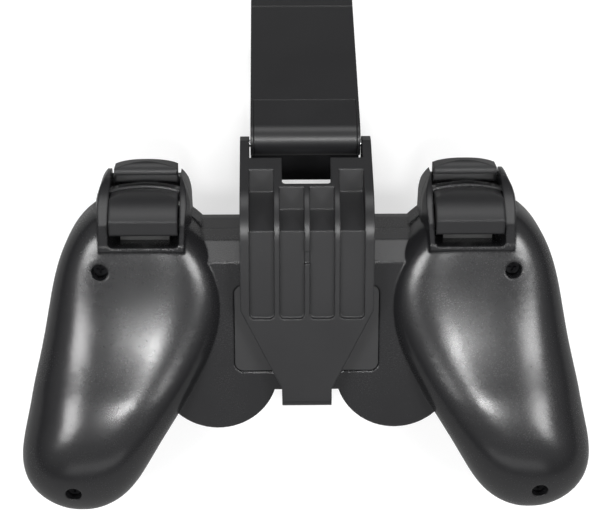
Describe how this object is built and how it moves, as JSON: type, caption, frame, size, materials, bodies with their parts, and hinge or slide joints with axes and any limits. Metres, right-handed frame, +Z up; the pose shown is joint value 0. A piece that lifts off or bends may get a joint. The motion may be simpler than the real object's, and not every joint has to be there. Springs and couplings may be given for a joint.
{
  "type": "wireless gamepad with phone holder",
  "caption": "Two-grip wireless gamepad with thumbsticks, shoulder buttons and a bracket over its back that carries a hinged, spring-clamped phone holder.",
  "frame": {"origin": "centre of the footprint at the surface the object lies on, face down", "axes": "+X towards the player's left grip, +Y towards the pad's top edge and the phone holder, +Z up out of the back"},
  "size_m": [0.1602, 0.157, 0.0669],
  "materials": {
    "housing_plastic": "charcoal plastic with a soft satin gloss",
    "button_plastic": "charcoal plastic with fine grain",
    "label_plastic": "bare matt plate",
    "bracket_plastic": "charcoal matt plastic",
    "stick_rubber": "soft dark rubber",
    "soft_pad": "dark foam rubber",
    "dome_rubber": "pale grey silicone",
    "steel": "plain steel",
    "board": "green lacquered board",
    "cell": "silvery pouch",
    "lens": "tinted window",
    "inner_plastic": "plain engineering plastic"
  },
  "bodies": {
    "root": {"front_housing": "housing_plastic", "back_housing": "housing_plastic", "label_plate": "label_plastic", "housing_screws": "steel", "main_circuit_board": "board", "battery_cell": "cell", "charge_socket": "steel", "dpad_dome_mat": "dome_rubber", "face_dome_mat": "dome_rubber", "centre_dome_mat": "dome_rubber", "indicator_lens": "lens", "left_switch_board": "board", "right_switch_board": "board", "left_stick_frame": "steel", "right_stick_frame": "steel", "left_stick_sensors": "inner_plastic", "right_stick_sensors": "inner_plastic", "phone_bracket": "bracket_plastic", "bracket_pads": "soft_pad", "hinge_pin": "steel", "left_trigger_pin": "steel", "right_trigger_pin": "steel", "left_trigger_spring": "steel", "right_trigger_spring": "steel"},
    "left_bumper": {"left_bumper": "button_plastic"},
    "left_trigger": {"left_trigger": "button_plastic"},
    "left_stick_rocker": {"left_stick_rocker": "inner_plastic", "left_stick_return_spring": "steel"},
    "left_stick_seat": {"left_stick_spring_seat": "inner_plastic"},
    "left_stick": {"left_stick_shaft": "inner_plastic", "left_stick_cap": "stick_rubber"},
    "left_stick_yoke": {"left_stick_yoke": "inner_plastic"},
    "right_bumper": {"right_bumper": "button_plastic"},
    "right_trigger": {"right_trigger": "button_plastic"},
    "right_stick_rocker": {"right_stick_rocker": "inner_plastic", "right_stick_return_spring": "steel"},
    "right_stick_seat": {"right_stick_spring_seat": "inner_plastic"},
    "right_stick": {"right_stick_shaft": "inner_plastic", "right_stick_cap": "stick_rubber"},
    "right_stick_yoke": {"right_stick_yoke": "inner_plastic"},
    "outer_face_button": {"outer_face_button": "button_plastic"},
    "inner_face_button": {"inner_face_button": "button_plastic"},
    "upper_face_button": {"upper_face_button": "button_plastic"},
    "lower_face_button": {"lower_face_button": "button_plastic"},
    "select_button": {"select_button": "button_plastic"},
    "start_button": {"start_button": "button_plastic"},
    "home_button": {"home_button": "button_plastic"},
    "dpad_pivot": {"dpad_pivot": "inner_plastic"},
    "dpad": {"dpad": "button_plastic"},
    "phone_holder": {"holder_plate": "bracket_plastic", "hinge_leaf": "bracket_plastic", "lower_jaw_pad": "soft_pad", "phone_rest_pad": "soft_pad", "clamp_spring": "steel"},
    "upper_jaw": {"slide_jaw": "bracket_plastic", "upper_jaw_pad": "soft_pad"}
  },
  "joints": [
    {"name": "left_bumper_press", "type": "slide", "parent": "root", "child": "left_bumper", "axis": [0, -0.8671, -0.4981], "range_m": [0, 0.0012], "stiffness_N_per_m": 600, "springref_m": -0.001},
    {"name": "left_trigger_pull", "type": "hinge", "parent": "root", "child": "left_trigger", "pos_m": [0.0444, 0.00275, 0.05484], "axis": [1, 0, 0], "range_deg": [0, 12], "stiffness_Nm_per_rad": 0.03, "springref_deg": -17.19, "deforming": ["left_trigger_spring"]},
    {"name": "left_stick_sideways", "type": "hinge", "parent": "root", "child": "left_stick_rocker", "pos_m": [0.0248, -0.03376, 0.02545], "axis": [0, 0.8671, 0.4981], "range_deg": [-18, 18], "stiffness_Nm_per_rad": 0.05},
    {"name": "left_stick_updown", "type": "hinge", "parent": "left_stick_rocker", "child": "left_stick_seat", "pos_m": [0.0248, -0.03376, 0.02545], "axis": [1, 0, 0], "range_deg": [-18, 18], "stiffness_Nm_per_rad": 0.05, "deforming": ["left_stick_return_spring"]},
    {"name": "left_stick_press", "type": "slide", "parent": "left_stick_seat", "child": "left_stick", "axis": [0, -0.4981, 0.8671], "range_m": [0, 0.0006], "stiffness_N_per_m": 4000, "springref_m": -0.00075},
    {"name": "left_stick_yoke_follow", "type": "hinge", "parent": "root", "child": "left_stick_yoke", "pos_m": [0.0248, -0.03376, 0.02545], "axis": [1, 0, 0], "range_deg": [-18, 18]},
    {"name": "right_bumper_press", "type": "slide", "parent": "root", "child": "right_bumper", "axis": [0, -0.8671, -0.4981], "range_m": [0, 0.0012], "stiffness_N_per_m": 600, "springref_m": -0.001},
    {"name": "right_trigger_pull", "type": "hinge", "parent": "root", "child": "right_trigger", "pos_m": [-0.0444, 0.00275, 0.05484], "axis": [1, 0, 0], "range_deg": [0, 12], "stiffness_Nm_per_rad": 0.03, "springref_deg": -17.19, "deforming": ["right_trigger_spring"]},
    {"name": "right_stick_sideways", "type": "hinge", "parent": "root", "child": "right_stick_rocker", "pos_m": [-0.0248, -0.03376, 0.02545], "axis": [0, 0.8671, 0.4981], "range_deg": [-18, 18], "stiffness_Nm_per_rad": 0.05},
    {"name": "right_stick_updown", "type": "hinge", "parent": "right_stick_rocker", "child": "right_stick_seat", "pos_m": [-0.0248, -0.03376, 0.02545], "axis": [1, 0, 0], "range_deg": [-18, 18], "stiffness_Nm_per_rad": 0.05, "deforming": ["right_stick_return_spring"]},
    {"name": "right_stick_press", "type": "slide", "parent": "right_stick_seat", "child": "right_stick", "axis": [0, -0.4981, 0.8671], "range_m": [0, 0.0006], "stiffness_N_per_m": 4000, "springref_m": -0.00075},
    {"name": "right_stick_yoke_follow", "type": "hinge", "parent": "root", "child": "right_stick_yoke", "pos_m": [-0.0248, -0.03376, 0.02545], "axis": [1, 0, 0], "range_deg": [-18, 18]},
    {"name": "outer_face_button_press", "type": "slide", "parent": "root", "child": "outer_face_button", "axis": [0, -0.4981, 0.8671], "range_m": [0, 0.0012], "stiffness_N_per_m": 500, "springref_m": -0.0012},
    {"name": "inner_face_button_press", "type": "slide", "parent": "root", "child": "inner_face_button", "axis": [0, -0.4981, 0.8671], "range_m": [0, 0.0012], "stiffness_N_per_m": 500, "springref_m": -0.0012},
    {"name": "upper_face_button_press", "type": "slide", "parent": "root", "child": "upper_face_button", "axis": [0, -0.4981, 0.8671], "range_m": [0, 0.0012], "stiffness_N_per_m": 500, "springref_m": -0.0012},
    {"name": "lower_face_button_press", "type": "slide", "parent": "root", "child": "lower_face_button", "axis": [0, -0.4981, 0.8671], "range_m": [0, 0.0012], "stiffness_N_per_m": 500, "springref_m": -0.0012},
    {"name": "select_button_press", "type": "slide", "parent": "root", "child": "select_button", "axis": [0, -0.4981, 0.8671], "range_m": [0, 0.0012], "stiffness_N_per_m": 500, "springref_m": -0.0012},
    {"name": "start_button_press", "type": "slide", "parent": "root", "child": "start_button", "axis": [0, -0.4981, 0.8671], "range_m": [0, 0.0012], "stiffness_N_per_m": 500, "springref_m": -0.0012},
    {"name": "home_button_press", "type": "slide", "parent": "root", "child": "home_button", "axis": [0, -0.4981, 0.8671], "range_m": [0, 0.0012], "stiffness_N_per_m": 500, "springref_m": -0.0012},
    {"name": "dpad_sideways", "type": "hinge", "parent": "root", "child": "dpad_pivot", "pos_m": [0.045, -0.01593, 0.03396], "axis": [0, 0.8671, 0.4981], "range_deg": [-5, 5], "stiffness_Nm_per_rad": 0.06},
    {"name": "dpad_updown", "type": "hinge", "parent": "dpad_pivot", "child": "dpad", "pos_m": [0.045, -0.01593, 0.03396], "axis": [1, 0, 0], "range_deg": [-5, 5], "stiffness_Nm_per_rad": 0.06},
    {"name": "holder_tilt", "type": "hinge", "parent": "root", "child": "phone_holder", "pos_m": [0, 0.02111, 0.0512], "axis": [1, 0, 0], "range_deg": [-15, 45]},
    {"name": "jaw_slide", "type": "slide", "parent": "phone_holder", "child": "upper_jaw", "axis": [0, 0.8179, -0.5753], "range_m": [0, 0.028], "stiffness_N_per_m": 250, "springref_m": -0.012, "deforming": ["clamp_spring"]}
  ],
  "couplings": [
    {"joint": "left_stick_yoke_follow", "follows": "left_stick_updown", "ratio": 1},
    {"joint": "right_stick_yoke_follow", "follows": "right_stick_updown", "ratio": 1}
  ]
}
